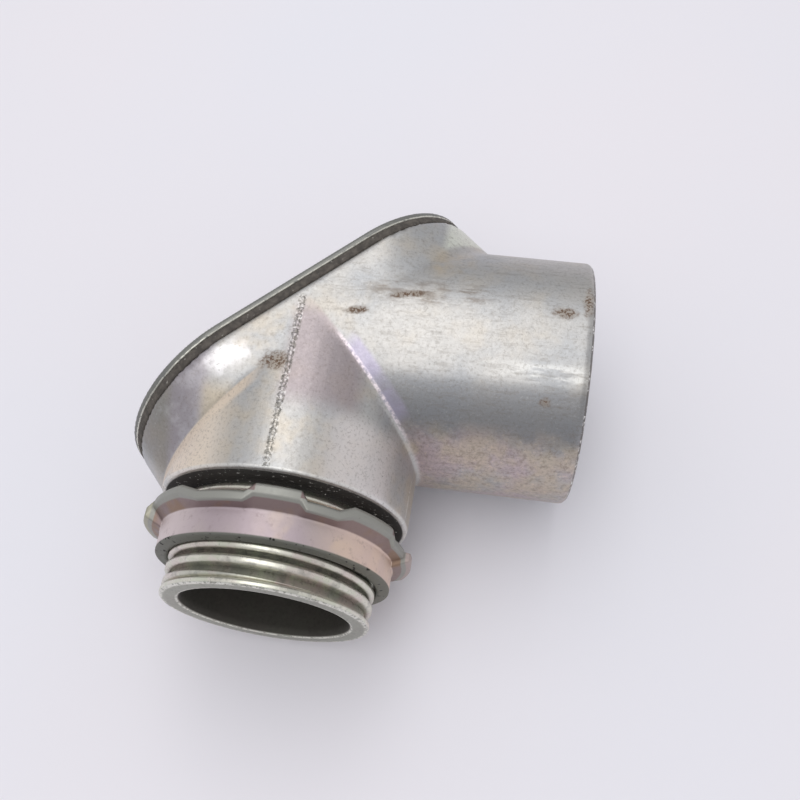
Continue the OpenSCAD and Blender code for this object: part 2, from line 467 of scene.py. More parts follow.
def turned(name: str, radius: np.ndarray, height: np.ndarray, place: Matrix) -> bpy.types.Object:
    """Makes a closed surface of revolution whose outline may change as it turns.

    Args:
        name: the object's name.
        radius: the distance from the local Z axis, with one row for each point of
            the outline and one column for each direction.
        height: the place along the axis, in the same rows and columns.
        place: where the local frame lies in the row frame.

    Returns:
        The turned object, shaded smooth.
    """
    count, sides = radius.shape
    ring = np.linspace(0, 2 * math.pi, sides, endpoint=False)
    local = np.stack([radius * np.cos(ring), radius * np.sin(ring), height], axis=-1).reshape(-1, 3)
    points = local @ np.array(place.to_3x3()).T + np.array(place.translation)
    faces = []
    for row in range(count):
        here = row * sides
        there = (row + 1) % count * sides
        for side in range(sides):
            across = (side + 1) % sides
            faces.append((here + side, here + across, there + across, there + side))
    mesh = bpy.data.meshes.new(name)
    mesh.from_pydata(points.tolist(), [], faces)
    mesh.update()
    work = bmesh.new()
    work.from_mesh(mesh)
    bmesh.ops.remove_doubles(work, verts=work.verts, dist=WELD)
    bmesh.ops.recalc_face_normals(work, faces=work.faces)
    work.to_mesh(mesh)
    work.free()
    return smooth_shaded(object_from(name, mesh))


def lathe(name: str, profile: Sequence[tuple[float, float]], place: Matrix, sides: int) -> bpy.types.Object:
    """Turns one closed profile about the local Z axis.

    Args:
        name: the object's name.
        profile: (radius, height) points, in metres.
        place: where the local frame lies in the row frame.
        sides: how many steps the turn has.

    Returns:
        The turned object, shaded smooth.
    """
    table = np.array(profile)
    return turned(name, np.repeat(table[:, :1], sides, 1), np.repeat(table[:, 1:], sides, 1), place)


def arc(
    centre: tuple[float, float], radius: float, first: float, last: float, steps: int
) -> list[tuple[float, float]]:
    """Points of an arc.

    Args:
        centre: the arc's centre.
        radius: its radius.
        first: the angle it starts at, in degrees.
        last: the angle it ends at, in degrees.
        steps: how many steps it is drawn in.

    Returns:
        The points from first to last.
    """
    angles = np.radians(np.linspace(first, last, steps + 1))
    return [(centre[0] + radius * math.cos(a), centre[1] + radius * math.sin(a)) for a in angles]


def relaxed(
    points: np.ndarray, edges: np.ndarray, passes: int, share: Union[float, np.ndarray] = 1.0
) -> np.ndarray:
    """Evens out a mesh so that its sharp edges turn soft, with little loss of size.

    Args:
        points: the vertices.
        edges: pairs of vertex numbers.
        passes: how many times each vertex moves towards its neighbours and back.
        share: how much of each move the vertices make, as one number or a column.

    Returns:
        The moved vertices.
    """
    towards, back = 0.55, -0.35
    near, far = np.concatenate([edges, edges[:, ::-1]]).T
    count = np.bincount(near, minlength=len(points))[:, None]
    for strength in (towards, back) * passes:
        total = np.stack([np.bincount(near, points[far, k], len(points)) for k in range(3)], axis=1)
        points = points + share * strength * (total / count - points)
    return points


def mesh_arrays(mesh: bpy.types.Mesh) -> tuple[np.ndarray, np.ndarray]:
    """Reads a mesh.

    Args:
        mesh: the mesh.

    Returns:
        Its vertices, and its edges as pairs of vertex numbers.
    """
    points = np.zeros(len(mesh.vertices) * 3, np.float32)
    mesh.vertices.foreach_get("co", points)
    edges = np.zeros(len(mesh.edges) * 2, np.int32)
    mesh.edges.foreach_get("vertices", edges)
    return points.reshape(-1, 3).astype(float), edges.reshape(-1, 2)


def move_points(mesh: bpy.types.Mesh, points: np.ndarray) -> None:
    """Writes a mesh's vertices back."""
    mesh.vertices.foreach_set("co", points.astype(np.float32).ravel())
    mesh.update()


class CadCopy:
    """A working copy of one CAD node's surface, merged so that it is closed."""

    merge: float = 0.002 * MM
    sharp_turn: float = math.radians(28)

    def __init__(self, node: str) -> None:
        """Copies and merges the node's mesh.

        Args:
            node: the CAD node's name.
        """
        self.work = bmesh.new()
        self.work.from_mesh(frame["nodes"][node].data)
        bmesh.ops.remove_doubles(self.work, verts=self.work.verts, dist=self.merge)

    def cut_off(self, point: Sequence[float], direction: Sequence[float]) -> None:
        """Removes what lies beyond a plane and closes the cut tube's end.

        Args:
            point: a point on the plane.
            direction: the side that is removed.
        """
        geometry = [*self.work.verts, *self.work.edges, *self.work.faces]
        bmesh.ops.bisect_plane(
            self.work, geom=geometry, plane_co=point, plane_no=direction, clear_outer=True, dist=WELD
        )
        rim = [e for e in self.work.edges if e.is_boundary]
        bmesh.ops.bridge_loops(self.work, edges=rim)

    def narrow(self, centre: Vector, axis: Vector, below: float, share: float) -> None:
        """Draws the part of the copy below a level in towards an axis.

        Args:
            centre: a point on the axis.
            axis: the axis, as a unit vector.
            below: the level, measured along the axis from the centre.
            share: the factor of the distance from the axis.
        """
        for vertex in self.work.verts:
            reach = (vertex.co - centre).dot(axis)
            if reach < below:
                foot = centre + axis * reach
                vertex.co = foot + (vertex.co - foot) * share

    def crisp(self, name: str) -> bpy.types.Object:
        """Makes a plain mesh of the copy that stays sharp at its corners.

        Args:
            name: the new object's name.

        Returns:
            The new object.
        """
        mesh = bpy.data.meshes.new(name)
        bmesh.ops.recalc_face_normals(self.work, faces=self.work.faces)
        self.work.to_mesh(mesh)
        self.work.free()
        made = smooth_shaded(object_from(name, mesh))
        mesh.set_sharp_from_angle(angle=self.sharp_turn)
        return made

    def softened(self, name: str, voxel: float, passes: int) -> bpy.types.Object:
        """Makes an even, soft-edged mesh of the copy's shape.

        Args:
            name: the new object's name.
            voxel: the size of its faces, in metres.
            passes: how far its edges are rounded.

        Returns:
            The new object, shaded smooth.
        """
        mesh = bpy.data.meshes.new(name)
        bmesh.ops.triangulate(self.work, faces=self.work.faces)
        self.work.to_mesh(mesh)
        holder = object_from(name + "_rough", mesh)
        remesh = holder.modifiers.new("even", "REMESH")
        remesh.mode = "VOXEL"
        remesh.voxel_size = voxel
        made = plain_mesh(name, holder)
        exact = BVHTree.FromBMesh(self.work)
        points, edges = mesh_arrays(made.data)
        points = np.array([exact.find_nearest(p)[0] for p in points])
        move_points(made.data, relaxed(points, edges, passes))
        self.work.free()
        return smooth_shaded(made)


# ---------------------------------------------------------------- Geometry Nodes


class Growth(Graph):
    """A Geometry Nodes tree with named inputs, used once and turned into a plain mesh."""

    def __init__(self, name: str) -> None:
        """Starts an empty tree with a geometry output.

        Args:
            name: the tree's name.
        """
        super().__init__(bpy.data.node_groups.new(name, "GeometryNodeTree"))
        self.tree.interface.new_socket("Geometry", in_out="OUTPUT", socket_type="NodeSocketGeometry")
        self.entry = self.tree.nodes.new("NodeGroupInput")
        self.exit = self.tree.nodes.new("NodeGroupOutput")
        self.place = self.node("GeometryNodeInputPosition").outputs[0]
        self.values: dict[str, object] = {}

    def size(self, name: str, value: Union[int, float]) -> Signal:
        """Adds a named input for a size.

        Args:
            name: what the size is.
            value: its value on the modifier.

        Returns:
            The input as a signal.
        """
        kind = "NodeSocketInt" if isinstance(value, int) else "NodeSocketFloat"
        socket = self.tree.interface.new_socket(name, in_out="INPUT", socket_type=kind)
        self.values[socket.identifier] = value
        return Signal(self, self.entry.outputs[name])

    def material(self, value: bpy.types.Material) -> bpy.types.NodeSocket:
        """Adds the named input for the material.

        Args:
            value: the material.

        Returns:
            The input's socket inside the tree.
        """
        socket = self.tree.interface.new_socket("Finish", in_out="INPUT", socket_type="NodeSocketMaterial")
        self.values[socket.identifier] = value
        return self.entry.outputs["Finish"]

    def grown(
        self, name: str, geometry: bpy.types.Node, finish: bpy.types.NodeSocket, place: Matrix
    ) -> bpy.types.Object:
        """Ends the tree, runs it and returns its result as a plain mesh.

        Args:
            name: the new object's name.
            geometry: the node that gives the tree's last geometry.
            finish: the material's socket.
            place: where the tree's frame lies in the row frame.

        Returns:
            The plain mesh object, with its place in its mesh.
        """
        smooth = self.node("GeometryNodeSetShadeSmooth", {"Geometry": geometry})
        real = self.node("GeometryNodeRealizeInstances", {"Geometry": smooth})
        dressed = self.node("GeometryNodeSetMaterial", {"Geometry": real, "Material": finish})
        self.tree.links.new(dressed.outputs[0], self.exit.inputs[0])
        holder = object_from(name + "_tree", bpy.data.meshes.new(name + "_tree"))
        modifier = holder.modifiers.new("grow", "NODES")
        modifier.node_group = self.tree
        for identifier, value in self.values.items():
            modifier[identifier] = value
        made = plain_mesh(name, holder)
        made.data.transform(place)
        return made


class Side(Enum):
    """Which way a thread's ridge stands from the wall that carries it."""

    OUTWARD = 1
    INWARD = -1


@dataclass(frozen=True)
class ThreadRidge:
    """One helical ridge, cut off softly at both ends."""

    wall_r: float
    depth: float
    pitch: float
    turns: float
    crest: float
    side: Side
    steps: int = 120
    sink: float = 0.12 * MM
    fade: float = 0.06
    stub: float = 0.02
    foot: float = 0.96
    seed: float = 0.0

    def build(self, name: str, place: Matrix, finish: bpy.types.Material) -> bpy.types.Object:
        """Grows the ridge.

        Args:
            name: the object's name.
            place: the thread's frame: local Z is its axis, and it starts at 0.
            finish: the ridge's material.

        Returns:
            The ridge as a plain mesh object.
        """
        tree = Growth(name)
        radius = tree.size("Wall Radius", self.wall_r)
        depth = tree.size("Depth", self.depth)
        pitch = tree.size("Pitch", self.pitch)
        turns = tree.size("Turns", self.turns)
        crest = tree.size("Crest Width", self.crest)
        steps = tree.size("Steps per Turn", self.steps)
        sink = tree.size("Sink", self.sink)
        fade = tree.size("Fade", self.fade)
        stub = tree.size("Stub", self.stub)
        seed = tree.size("Seed", self.seed)
        finish_socket = tree.material(finish)
        spiral = tree.node(
            "GeometryNodeCurveSpiral",
            {
                "Resolution": steps,
                "Rotations": turns,
                "Start Radius": radius,
                "End Radius": radius,
                "Height": turns * pitch,
            },
        )
        upright = tree.node("GeometryNodeSetCurveNormal", {"Curve": spiral}, mode="Z_UP")
        along = Signal(tree, tree.node("GeometryNodeSplineParameter").outputs["Factor"])
        wear = tree.noise(900.0, 2.0, 0.6, seed)
        swell = along.rise(0.0, fade) * (1.0 - along).rise(0.0, fade) * (0.93 + wear * 0.14) + stub
        trapezoid = tree.node(
            "GeometryNodeCurvePrimitiveQuadrilateral",
            {"Height": depth + sink, "Bottom Width": pitch * self.foot, "Top Width": crest, "Offset": 0.0},
            mode="TRAPEZOID",
        )
        upward = (0.0, 0.0, math.radians(90.0 * self.side.value))
        section = tree.node("GeometryNodeTransform", {"Geometry": trapezoid, "Rotation": upward})
        out = tree.node("ShaderNodeCombineXYZ", {0: (depth - sink) * (-0.5 * self.side.value)})
        seated = tree.node("GeometryNodeTransform", {"Geometry": section, "Translation": out})
        ridge = tree.node(
            "GeometryNodeCurveToMesh",
            {"Curve": upright, "Profile Curve": seated, "Scale": swell, "Fill Caps": True},
        )
        return tree.grown(name, ridge, finish_socket, place)


@dataclass(frozen=True)
class PartingRidge:
    """The rough bead left where the mould's halves met, along a straight run."""

    start: Vector
    end: Vector
    width: float = 1.15 * MM
    height: float = 0.24 * MM
    step: float = 0.16 * MM
    sides: int = 14
    seed: float = 1.5

    def build(self, name: str, finish: bpy.types.Material) -> bpy.types.Object:
        """Grows the bead.

        Args:
            name: the object's name.
            finish: its material.

        Returns:
            The bead as a plain mesh object.
        """
        tree = Growth(name)
        width = tree.size("Width", self.width)
        height = tree.size("Height", self.height)
        length = tree.size("Length", (self.end - self.start).length)
        count = tree.size("Count", int((self.end - self.start).length / self.step))
        seed = tree.size("Seed", self.seed)
        finish_socket = tree.material(finish)
        tip = tree.node("ShaderNodeCombineXYZ", {2: length})
        line = tree.node("GeometryNodeCurvePrimitiveLine", {"End": tip})
        fine = tree.node("GeometryNodeResampleCurve", {"Curve": line, "Count": count})
        wander = tree.noise(260.0, 3.0, 0.6, seed) - 0.5
        drift = tree.node("ShaderNodeCombineXYZ", {0: wander * width * 0.5})
        bent = tree.node("GeometryNodeSetPosition", {"Geometry": fine, "Offset": drift})
        lumps = tree.noise(1500.0, 2.0, 0.7, seed + 2.5)
        swell = 0.35 + lumps.rise(0.3, 0.7) * 0.9
        round_section = {"Resolution": self.sides, "Radius": width * 0.5}
        disc = tree.node("GeometryNodeCurvePrimitiveCircle", round_section)
        squash = tree.node("ShaderNodeCombineXYZ", {0: height * 2.0 / width, 1: 1.0, 2: 1.0})
        oval = tree.node("GeometryNodeTransform", {"Geometry": disc, "Scale": squash})
        bead = tree.node(
            "GeometryNodeCurveToMesh",
            {"Curve": bent, "Profile Curve": oval, "Scale": swell, "Fill Caps": True},
        )
        run = (self.end - self.start).normalized()
        up = Vector((0, 0, 1))
        across = up.cross(run).normalized()
        place = Matrix((across, run.cross(across), run)).transposed().to_4x4()
        place.translation = self.start
        return tree.grown(name, bead, finish_socket, place)


# ---------------------------------------------------------------- finishes


@dataclass(frozen=True)
class Spot:
    """A soft-edged mark on the upper side of the casting, in millimetres from the crossing."""

    x: float
    y: float
    long: float
    wide: float
    turn: float = 0.0


class CastSurface(Surface):
    """The casting's shader tree, with the distances and noises that its tints share."""

    def __init__(self, layout: Layout) -> None:
        """Works out what the tints read.

        Args:
            layout: the part's places and sizes.
        """
        super().__init__("plated_casting")
        self.across = self.x - layout.nipple_x
        self.along = (self.across + self.y) * DIAGONAL
        self.outward = (self.y - self.across) * DIAGONAL
        self.from_nipple = self.across.hypotenuse(self.z)
        self.from_hub = self.y.hypotenuse(self.z)
        self.hub = self.along.rise(-0.3 * MM, 0.5 * MM)
        self.barrel = 1.0 - self.hub
        self.cloud = self.noise(95.0, 3.0, 0.55, 1.0)
        self.cloud_b = self.noise(150.0, 3.0, 0.6, 5.0)
        self.grain = self.noise(1500.0, 3.0, 0.65, 2.0)
        self.mottle = self.noise(2100.0, 4.0, 0.75, 12.0)


@dataclass(frozen=True)
class PlatedCasting:
    """Zinc plated casting: dull grey with rainbow tints, fine pits and dirty places, and painted highlights
    and painted shade in places.
    """

    layout: Layout
    grey: Colour = (0.49, 0.475, 0.455)
    cool: Colour = (0.43, 0.44, 0.455)
    warm: Colour = (0.56, 0.48, 0.37)
    pink: Colour = (0.53, 0.42, 0.44)
    violet: Colour = (0.40, 0.35, 0.42)
    iris: Colour = (0.47, 0.42, 0.58)
    straw: Colour = (0.58, 0.47, 0.32)
    crease_highlight_cream: Colour = (0.80, 0.66, 0.52)
    # Painted light on the barrel's lit flanks.
    painted_flank_light: Colour = (0.88, 0.76, 0.63)
    rosy: Colour = (0.80, 0.74, 0.72)
    sand: Colour = (0.74, 0.62, 0.50)
    lip: Colour = (0.78, 0.80, 0.70)
    # Painted highlight colour along the crease between the barrels.
    flash: Colour = (0.95, 0.84, 0.86)
    glint: Colour = (0.90, 0.87, 0.88)
    dust: Colour = (0.20, 0.175, 0.15)
    smear: Colour = (0.22, 0.195, 0.17)
    smudge: Colour = (0.22, 0.18, 0.15)
    painted_dark_reflection: Colour = (0.23, 0.235, 0.25)
    crust: Colour = (0.25, 0.20, 0.16)
    shade: Colour = (0.25, 0.235, 0.215)
    web: Colour = (0.36, 0.30, 0.31)
    gap: Colour = (0.16, 0.15, 0.13)
    halo: Colour = (0.27, 0.21, 0.155)
    # Pale tone for mottling, scratches, specks and flash, also used for painted highlights.
    bright: Colour = (0.80, 0.79, 0.76)
    stain: Colour = (0.13, 0.075, 0.045)
    speck: Colour = (0.12, 0.11, 0.10)
    # Painted shade: near black for the shoulder face and the casting's inside.
    painted_shade_black: Colour = (0.022, 0.020, 0.018)
    stains: tuple[Spot, ...] = (
        Spot(41.6, 0.7, 2.3, 1.3),
        Spot(8.9, -2.6, 2.4, 0.8, 12.0),
        Spot(-2.4, -13.3, 2.8, 2.0),
        Spot(45.3, 3.4, 1.2, 3.6),
        Spot(39.9, -13.1, 1.2, 0.8),
        Spot(16.5, 1.2, 4.0, 0.8, 14.0),
    )
    glints: tuple[Spot, ...] = (Spot(-9.8, -13.4, 4.2, 2.4, 40.0),)

    def build(self) -> bpy.types.Material:
        """Builds the material.

        Returns:
            The finished material.
        """
        s = CastSurface(self.layout)
        s.colour = s.blend(s.cloud.rise(0.42, 0.66) * 0.7, self.grey, self.cool)
        s.paint(s.cloud_b.rise(0.48, 0.72) * 0.30, self.warm)
        self._hub_tints(s)
        self._barrel_tints(s)
        self._wear(s)
        stains = self._marks(s, self.stains)
        glint = self._marks(s, self.glints)
        ragged = s.noise(2300.0, 2.0, 0.7, 8.0)
        s.paint(stains * 0.55, self.halo)
        s.paint(stains * ragged.rise(0.47, 0.56) * 0.95, self.stain)
        s.paint(glint * s.grain.rise(0.30, 0.50) * 0.85, self.glint)
        face, dark = self._painted_shade_masks(s)
        # Painted shade: the shoulder face and the inside turned near black.
        s.paint(dark * 0.96, self.painted_shade_black)
        # Painted glints: pale specks on the shaded shoulder face.
        s.paint(s.grain.rise(0.61, 0.67) * face * 0.85, self.bright)

        fine = s.noise(3600.0, 2.0, 0.6, 3.0)
        roughness = 0.41 - glint * 0.06 + (s.grain - 0.5) * 0.30 + (s.cloud - 0.5) * 0.12
        roughness = roughness + stains * 0.2 + dark * 0.3
        metallic = 0.88 - (stains * 0.5).most(dark * 0.75)
        relief = s.grain * 0.6 + fine * 0.5 + s.mottle * 0.5 + s.cloud_b * 0.4 + face * s.grain * 2.0
        return s.finish(roughness.held(), metallic.held(), relief, 0.026 * MM)

    def _wear(self, s: CastSurface) -> None:
        """Fine mottling, streaks, a painted highlight along the crease between the barrels, the hub's mouth
        and pits.

        Args:
            s: the material being built.
        """
        along, outward, grain, mottle = s.along, s.outward, s.grain, s.mottle
        s.paint(mottle.rise(0.58, 0.70) * 0.20, self.bright)
        streak = s.noise(1.0, 4.0, 0.7, 16.0, s.stretched((260.0, 1500.0, 1500.0)))
        s.paint(mottle.rise(0.50, 0.36) * 0.34, self.dust)
        s.paint(streak.rise(0.52, 0.64) * s.hub * 0.28, self.smear)
        # Painted highlight along the crease between the barrels.
        groin_highlight = along.band(-0.15 * MM, 0.15 * MM, 0.25 * MM) * outward.rise(-8 * MM, -11 * MM)
        groin_highlight = groin_highlight * outward.rise(-29 * MM, -24 * MM) * s.z.rise(6 * MM, 9 * MM)
        iris = along.band(0.3 * MM, 1.6 * MM, 0.9 * MM) * outward.band(-23 * MM, -13 * MM, 3 * MM)
        iris = iris * s.z.rise(4 * MM, 8 * MM)
        s.paint(iris * s.cloud.rise(0.30, 0.55) * 0.6, self.iris)
        s.paint(groin_highlight * grain.rise(0.38, 0.58) * 0.65, self.flash)
        mouth_x = self.layout.hub_mouth_x - self.layout.nipple_x
        mouth = s.across.rise(mouth_x - 0.5 * MM, mouth_x - 0.3 * MM)
        rim = mouth * s.from_hub.rise(20.3 * MM, 20.7 * MM)
        s.paint(mouth * 0.35, self.speck)
        s.paint(rim * 0.6, self.speck)
        s.paint(rim.most(mouth * 0.3) * grain.rise(0.52, 0.60), self.bright)

        pits = grain.rise(0.66, 0.76) * (0.30 + s.cloud.rise(0.4, 0.6) * 0.5)
        s.paint(pits * 0.7, self.speck)

    def _painted_shade_masks(self, s: CastSurface) -> tuple[Signal, Signal]:
        """Where shade is painted dark onto the casting: its end face, in the nut's shadow, and its inside.

        Args:
            s: the material being built.

        Returns:
            The mask of the end face and the mask of all the painted shade.
        """
        shoulder_y = self.layout.shoulder_y
        face = s.y.rise(shoulder_y + 0.45 * MM, shoulder_y + 0.25 * MM)
        face = face * s.from_nipple.rise(19.9 * MM, 19.6 * MM)
        bore = s.from_nipple.rise(14.0 * MM, 13.7 * MM) * s.y.rise(-25 * MM, -27 * MM)
        inside = s.from_hub.rise(18.5 * MM, 18.2 * MM) * s.from_nipple.rise(18.5 * MM, 18.2 * MM)
        hollow = s.from_hub.rise(17.2 * MM, 17.0 * MM) * s.across.rise(20 * MM, 23 * MM)
        dark = face.most(bore).most(inside).most(hollow * 0.75)
        return face, dark

    def _hub_tints(self, s: CastSurface) -> None:
        """The hub's lower side darkened as a painted dark reflection, a painted highlight band and its pink
        and yellow underside.

        Args:
            s: the material being built.
        """
        hub, x, cloud, cloud_b = s.hub, s.across, s.cloud, s.cloud_b
        # Painted dark reflection along the hub's lower near side.
        painted_dark_reflection = s.y.band(-17.2 * MM, -12.5 * MM, 2.6 * MM) * hub * s.z.rise(0.0, 6 * MM)
        s.paint(painted_dark_reflection * 0.75, self.painted_dark_reflection)
        under = s.y.rise(-16.0 * MM, -18.9 * MM) * hub
        s.paint(under * cloud.rise(0.62, 0.40) * 0.75, self.pink)
        s.paint(under * cloud_b.rise(0.40, 0.60) * 0.70, self.warm)
        crust = s.noise(1300.0, 4.0, 0.75, 17.0)
        s.paint(under * crust.rise(0.49, 0.62) * 0.42, self.crust)
        s.paint(under * crust.rise(0.44, 0.34) * 0.5, self.sand)
        scuff = s.noise(1.0, 3.0, 0.6, 6.0, s.stretched((250.0, 900.0, 900.0)))
        # Painted highlight: a faint bright band along the hub.
        gleam = s.y.band(-9.9 * MM, -8.8 * MM, 1.4 * MM) * x.rise(27 * MM, 40 * MM) * scuff.rise(0.42, 0.60)
        s.paint(gleam * hub * 0.65, self.bright)
        smudge = s.y.band(0.6 * MM, 3.4 * MM, 1.6 * MM) * x.band(13 * MM, 27 * MM, 5 * MM)
        smudge = smudge * scuff.rise(0.44, 0.62)
        s.paint(smudge * 0.6, self.smudge)
        fillet = x.band(21 * MM, 25 * MM, 3 * MM) * s.y.band(8 * MM, 12 * MM, 3.5 * MM) * hub
        s.paint(fillet * cloud_b.rise(0.36, 0.60) * 0.5, self.straw)
        lip = x.rise(20.2 * MM, 22 * MM) * (s.y - x).rise(-8.5 * MM, -6.5 * MM)
        s.paint(lip * 0.75, self.lip)

    def _barrel_tints(self, s: CastSurface) -> None:
        """The nipple's side: scratches, violet flare, a cream painted highlight under the crease, painted
        light on the flanks, a painted highlight on the shoulder's edge and pink web.

        Args:
            s: the material being built.
        """
        barrel, x, outward, cloud, cloud_b = s.barrel, s.across, s.outward, s.cloud, s.cloud_b
        upper = s.z.rise(4 * MM, 9 * MM) * barrel
        s.paint(barrel * cloud_b.rise(0.45, 0.65) * 0.35, self.warm)
        web = x.band(1 * MM, 10 * MM, 3 * MM) * s.y.band(-17 * MM, -5 * MM, 5 * MM) * upper
        s.paint(web * 0.80, self.web)
        flare = outward.rise(-7.2 * MM, -6.7 * MM) * upper
        shade = flare * x.rise(-12 * MM, -16 * MM) * cloud_b.rise(0.36, 0.50)
        s.paint(shade * 0.75, self.shade)
        s.paint(flare * x.band(-17 * MM, -13.5 * MM, 2.5 * MM) * 0.45, self.violet)
        s.paint(flare * x.band(-12 * MM, -9 * MM, 2 * MM) * s.y.rise(-16 * MM, -19 * MM) * 0.7, self.warm)
        # Painted highlight: a thin cream band just under the flare's crease.
        below = outward.band(-8.2 * MM, -7.3 * MM, 1.0 * MM) * outward.rise(-6.7 * MM, -7.2 * MM)
        s.paint(below * x.rise(-3 * MM, -7 * MM) * upper * 0.8, self.crease_highlight_cream)
        gold = cloud.rise(0.62, 0.42) * s.y.rise(-22 * MM, -26 * MM) * x.rise(9 * MM, 13 * MM)
        s.paint(gold * barrel * 0.6, self.warm)
        scratch = s.noise(1.0, 2.0, 0.7, 7.0, s.stretched((120.0, 3200.0, 10.0), (0.0, 0.0, 0.06)))
        flat = outward.rise(-4.5 * MM, -2.5 * MM) * x.band(-10 * MM, -1 * MM, 2 * MM) * upper
        s.paint(flat * scratch.rise(0.64, 0.70) * 0.6, self.bright)
        # Painted light: the barrel's flanks made lighter, rosy on the right and cream on the left.
        light = barrel * s.z.rise(20.4 * MM, 17.5 * MM) * s.z.rise(9 * MM, 13 * MM)
        light = light * outward.rise(-6.8 * MM, -7.8 * MM)
        s.paint(light * x.rise(4 * MM, 9 * MM) * s.y.rise(-18 * MM, -22 * MM) * 0.75, self.rosy)
        s.paint(light * x.rise(-3 * MM, -8 * MM) * 0.85, self.painted_flank_light)
        seam = x.band(-0.5 * MM, 0.5 * MM, 0.25 * MM) * s.y.rise(-0.5 * MM, -1.5 * MM)
        seam = seam * s.z.rise(14 * MM, 16 * MM)
        crumb = s.noise(1700.0, 2.0, 0.6, 14.0)
        s.paint(seam * crumb.rise(0.52, 0.44) * 0.70, self.gap)
        s.paint(seam * crumb.rise(0.56, 0.64) * 0.45, self.bright)
        flash = s.z.band(3.7 * MM, 4.0 * MM, 0.2 * MM) * x.rise(18 * MM, 19.5 * MM)
        flash = flash * s.y.rise(-23 * MM, -24.5 * MM)
        s.paint(flash * crumb.rise(0.40, 0.52) * 0.6, self.bright)
        # Painted highlight along the shoulder's edge.
        edge = s.y.rise(self.layout.shoulder_y + 0.75 * MM, self.layout.shoulder_y + 0.4 * MM)
        s.paint(edge * 0.6, self.bright)

    @staticmethod
    def _marks(s: CastSurface, spots: Sequence[Spot]) -> Signal:
        """Where a set of marks lies.

        Args:
            s: the material being built.
            spots: the marks.

        Returns:
            The marks' mask, with wavy edges.
        """
        wobble = (s.noise(420.0, 2.0, 0.6, 9.0) - 0.5) * 1.3
        masks = []
        for spot in spots:
            turn = math.radians(spot.turn)
            dx = s.across - spot.x * MM
            dy = s.y - spot.y * MM
            u = (dx * math.cos(turn) + dy * math.sin(turn)) / (spot.long * MM)
            v = (dy * math.cos(turn) - dx * math.sin(turn)) / (spot.wide * MM)
            masks.append((u.hypotenuse(v) + wobble).rise(1.1, 0.3))
        return reduce(Signal.most, masks) * s.z.rise(10 * MM, 14 * MM)


@dataclass(frozen=True)
class BrightThread:
    """Cut thread: bright crests, greyer flanks and dark grime at the roots."""

    layout: Layout
    bright: Colour = (0.76, 0.735, 0.64)
    dull: Colour = (0.46, 0.46, 0.40)
    grime: Colour = (0.15, 0.135, 0.10)
    rosy: Colour = (0.64, 0.52, 0.50)
    green: Colour = (0.60, 0.64, 0.50)
    dark: Colour = (0.30, 0.30, 0.27)
    face: Colour = (0.29, 0.295, 0.255)
    rim: Colour = (0.80, 0.79, 0.72)
    bore: Colour = (0.03, 0.026, 0.02)

    def build(self) -> bpy.types.Material:
        """Builds the material.

        Returns:
            The finished material.
        """
        s = Surface("bright_thread")
        plan = self.layout
        across = s.x - plan.nipple_x
        radius = across.hypotenuse(s.z)
        grain = s.noise(1500.0, 3.0, 0.65, 2.0)
        cloud = s.noise(160.0, 2.0, 0.5, 1.0)
        crest = radius.rise(plan.thread_r - 0.75 * MM, plan.thread_r - 0.1 * MM)
        lip = s.y.rise(plan.nipple_end_y + 1.9 * MM, plan.nipple_end_y + 0.9 * MM)
        s.colour = s.blend(crest.most(lip) * 0.9, self.dull, self.bright)
        tint = s.noise(420.0, 2.0, 0.6, 5.0)
        s.paint(cloud.rise(0.44, 0.60) * 0.5, self.rosy)
        s.paint(tint.rise(0.50, 0.62) * 0.45, self.green)
        s.paint(tint.rise(0.46, 0.34) * 0.45, self.dark)
        s.paint((1.0 - crest.most(lip)) * grain.rise(0.50, 0.68) * 0.45, self.grime)
        face = s.y.rise(plan.nipple_end_y + 0.3 * MM, plan.nipple_end_y + 0.12 * MM)
        speck = s.noise(2200.0, 3.0, 0.7, 4.0)
        rim = radius.rise(plan.thread_r - 0.9 * MM, plan.thread_r - 0.5 * MM)
        rim = rim.most(radius.rise(plan.nipple_bore_r + 0.75 * MM, plan.nipple_bore_r + 0.45 * MM))
        s.paint(face * 0.85, self.face)
        s.paint(face * rim * grain.rise(0.38, 0.55) * 0.9, self.rim)
        s.paint(face.most(crest * 0.5) * speck.rise(0.56, 0.66) * 0.6, self.grime)
        # Painted shade: the nipple's bore made near black.
        bore = radius.rise(plan.nipple_bore_r + 0.35 * MM, plan.nipple_bore_r + 0.1 * MM)
        s.paint(bore * 0.96, self.bore)
        roughness = 0.42 - crest * 0.10 + (grain - 0.5) * 0.3 + bore * 0.3
        metallic = 0.9 - bore * 0.6
        relief = grain * 0.6 + tint * 0.9 + cloud * 0.8
        return s.finish(roughness.held(), metallic.held(), relief, 0.040 * MM)


@dataclass(frozen=True)
class FibreSheet:
    """Dark cork and rubber sheet with pale flecks and a torn edge."""

    dark: Colour = (0.050, 0.043, 0.037)
    light: Colour = (0.115, 0.100, 0.085)
    fleck: Colour = (0.42, 0.40, 0.36)

    def build(self) -> bpy.types.Material:
        """Builds the material.

        Returns:
            The finished material.
        """
        s = Surface("fibre_sheet")
        crumb = s.noise(900.0, 4.0, 0.7, 1.0)
        flecks = s.noise(1900.0, 1.0, 0.5, 2.0).rise(0.70, 0.76)
        s.colour = s.blend(crumb.rise(0.35, 0.68), self.dark, self.light)
        s.paint(flecks * 0.7, self.fleck)
        roughness = 0.82 + (crumb - 0.5) * 0.2
        return s.finish(roughness.held(), 0.0, crumb, 0.16 * MM)


